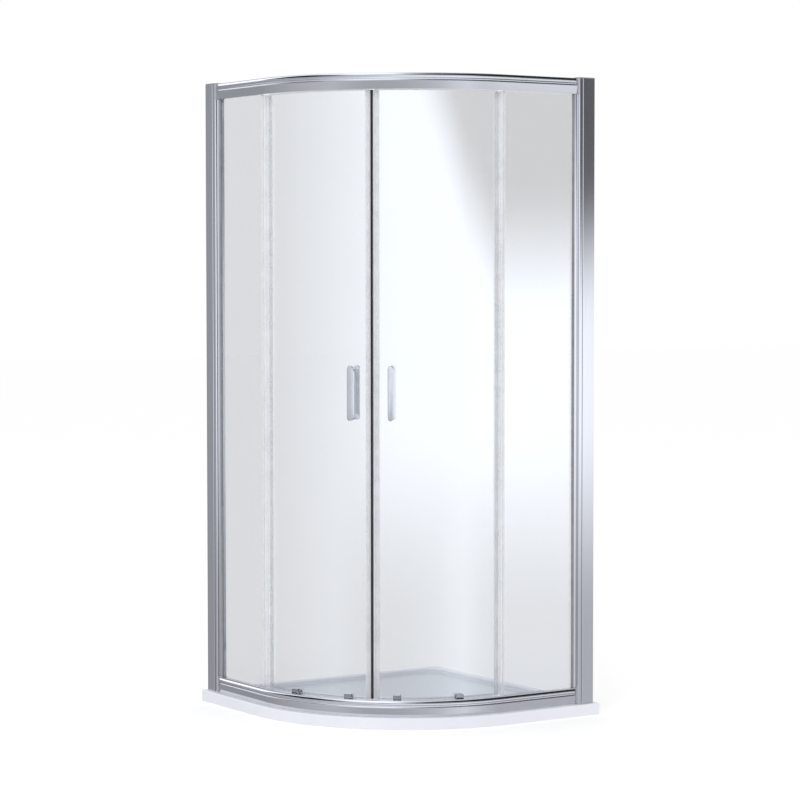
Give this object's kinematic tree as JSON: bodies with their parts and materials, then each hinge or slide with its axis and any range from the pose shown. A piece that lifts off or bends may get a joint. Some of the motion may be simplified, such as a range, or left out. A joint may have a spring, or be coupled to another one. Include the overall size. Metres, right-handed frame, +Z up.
{
  "type": "quadrant shower enclosure",
  "caption": "Corner shower enclosure with a low rounded tray, fixed straight glass panels and curved glass doors that roll sideways in curved rails.",
  "frame": {"origin": "bottom centre of the tray's square footprint, on the floor", "axes": "+Z up; the side wall is at -X, the back wall at +Y and the rounded front faces +X and -Y"},
  "size_m": [0.9, 0.9, 1.955],
  "materials": {
    "tray_acrylic": "gloss",
    "sill_seal": "matte",
    "frame_aluminium": "polished",
    "cap_plastic": "satin",
    "corner_plastic": "satin",
    "gasket_rubber": "matte",
    "stop_rubber": "matte",
    "fixed_glass": "clear",
    "door_glass": "clear",
    "clear_seal": "satin",
    "magnet_rubber": "matte",
    "handle_chrome": "polished",
    "nut_chrome": "polished",
    "screw_steel": "satin",
    "bush_nylon": "matte",
    "roller_nylon": "gloss",
    "fork_plastic": "gloss"
  },
  "bodies": {
    "frame": {"bottom_rail": "frame_aluminium", "door_stops": "stop_rubber", "fixed_edge_strip_left": "clear_seal", "fixed_edge_strip_right": "clear_seal", "fixed_glass_left": "fixed_glass", "fixed_glass_right": "fixed_glass", "frame_screws": "screw_steel", "frame_stile_left": "frame_aluminium", "frame_stile_right": "frame_aluminium", "glazing_bead_left": "frame_aluminium", "glazing_bead_right": "frame_aluminium", "glazing_gasket_left": "gasket_rubber", "glazing_gasket_right": "gasket_rubber", "rail_corner_bottom_left": "corner_plastic", "rail_corner_bottom_right": "corner_plastic", "rail_corner_top_left": "corner_plastic", "rail_corner_top_right": "corner_plastic", "rail_gaskets": "gasket_rubber", "screw_caps": "cap_plastic", "shower_tray": "tray_acrylic", "sill_strip": "sill_seal", "top_rail": "frame_aluminium", "wall_profile_cap_left": "cap_plastic", "wall_profile_cap_right": "cap_plastic", "wall_profile_left": "frame_aluminium", "wall_profile_right": "frame_aluminium"},
    "door_left": {"door_glass_left": "door_glass", "magnetic_seal_left": "clear_seal", "magnet_strip_left": "magnet_rubber", "trailing_seal_left": "clear_seal", "wiper_seal_left": "clear_seal", "outer_handle_left": "handle_chrome", "inner_handle_left": "handle_chrome", "handle_bolts_left": "screw_steel", "glass_bushes_left": "bush_nylon", "roller_forks_left": "fork_plastic", "roller_axles_left": "screw_steel", "roller_nuts_left": "nut_chrome", "roller_washers_left": "bush_nylon"},
    "door_right": {"door_glass_right": "door_glass", "magnetic_seal_right": "clear_seal", "magnet_strip_right": "magnet_rubber", "trailing_seal_right": "clear_seal", "wiper_seal_right": "clear_seal", "outer_handle_right": "handle_chrome", "inner_handle_right": "handle_chrome", "handle_bolts_right": "screw_steel", "glass_bushes_right": "bush_nylon", "roller_forks_right": "fork_plastic", "roller_axles_right": "screw_steel", "roller_nuts_right": "nut_chrome", "roller_washers_right": "bush_nylon"},
    "top_roller_lead_left": {"top_roller_lead_left": "roller_nylon"},
    "top_roller_trail_left": {"top_roller_trail_left": "roller_nylon"},
    "bottom_roller_lead_left": {"bottom_roller_lead_left": "roller_nylon"},
    "bottom_roller_trail_left": {"bottom_roller_trail_left": "roller_nylon"},
    "top_roller_lead_right": {"top_roller_lead_right": "roller_nylon"},
    "top_roller_trail_right": {"top_roller_trail_right": "roller_nylon"},
    "bottom_roller_lead_right": {"bottom_roller_lead_right": "roller_nylon"},
    "bottom_roller_trail_right": {"bottom_roller_trail_right": "roller_nylon"}
  },
  "joints": [
    {"name": "door_left_roll", "type": "hinge", "parent": "frame", "child": "door_left", "pos_m": [-0.1, 0.1, 1], "axis": [0, 0, 1], "range_deg": [-24, 0]},
    {"name": "door_right_roll", "type": "hinge", "parent": "frame", "child": "door_right", "pos_m": [-0.1, 0.1, 1], "axis": [0, 0, 1], "range_deg": [0, 24]},
    {"name": "top_roller_lead_left_spin", "type": "hinge", "parent": "door_left", "child": "top_roller_lead_left", "pos_m": [0.2028, -0.3092, 1.9196], "axis": [0.5948, -0.8039, 0], "continuous": true},
    {"name": "top_roller_trail_left_spin", "type": "hinge", "parent": "door_left", "child": "top_roller_trail_left", "pos_m": [0.03261, -0.39147, 1.9196], "axis": [0.2605, -0.9655, 0], "continuous": true},
    {"name": "bottom_roller_lead_left_spin", "type": "hinge", "parent": "door_left", "child": "bottom_roller_lead_left", "pos_m": [0.2028, -0.3092, 0.084], "axis": [0.5948, -0.8039, 0], "continuous": true},
    {"name": "bottom_roller_trail_left_spin", "type": "hinge", "parent": "door_left", "child": "bottom_roller_trail_left", "pos_m": [0.03261, -0.39147, 0.084], "axis": [0.2605, -0.9655, 0], "continuous": true},
    {"name": "top_roller_lead_right_spin", "type": "hinge", "parent": "door_right", "child": "top_roller_lead_right", "pos_m": [0.3092, -0.2028, 1.9196], "axis": [0.8039, -0.5948, 0], "continuous": true},
    {"name": "top_roller_trail_right_spin", "type": "hinge", "parent": "door_right", "child": "top_roller_trail_right", "pos_m": [0.39147, -0.03261, 1.9196], "axis": [0.9655, -0.2605, 0], "continuous": true},
    {"name": "bottom_roller_lead_right_spin", "type": "hinge", "parent": "door_right", "child": "bottom_roller_lead_right", "pos_m": [0.3092, -0.2028, 0.084], "axis": [0.8039, -0.5948, 0], "continuous": true},
    {"name": "bottom_roller_trail_right_spin", "type": "hinge", "parent": "door_right", "child": "bottom_roller_trail_right", "pos_m": [0.39147, -0.03261, 0.084], "axis": [0.9655, -0.2605, 0], "continuous": true}
  ],
  "couplings": [
    {"joint": "top_roller_lead_left_spin", "follows": "door_left_roll", "ratio": -46.277},
    {"joint": "top_roller_trail_left_spin", "follows": "door_left_roll", "ratio": -46.277},
    {"joint": "bottom_roller_lead_left_spin", "follows": "door_left_roll", "ratio": -46.277},
    {"joint": "bottom_roller_trail_left_spin", "follows": "door_left_roll", "ratio": -46.277},
    {"joint": "top_roller_lead_right_spin", "follows": "door_right_roll", "ratio": -46.277},
    {"joint": "top_roller_trail_right_spin", "follows": "door_right_roll", "ratio": -46.277},
    {"joint": "bottom_roller_lead_right_spin", "follows": "door_right_roll", "ratio": -46.277},
    {"joint": "bottom_roller_trail_right_spin", "follows": "door_right_roll", "ratio": -46.277}
  ]
}
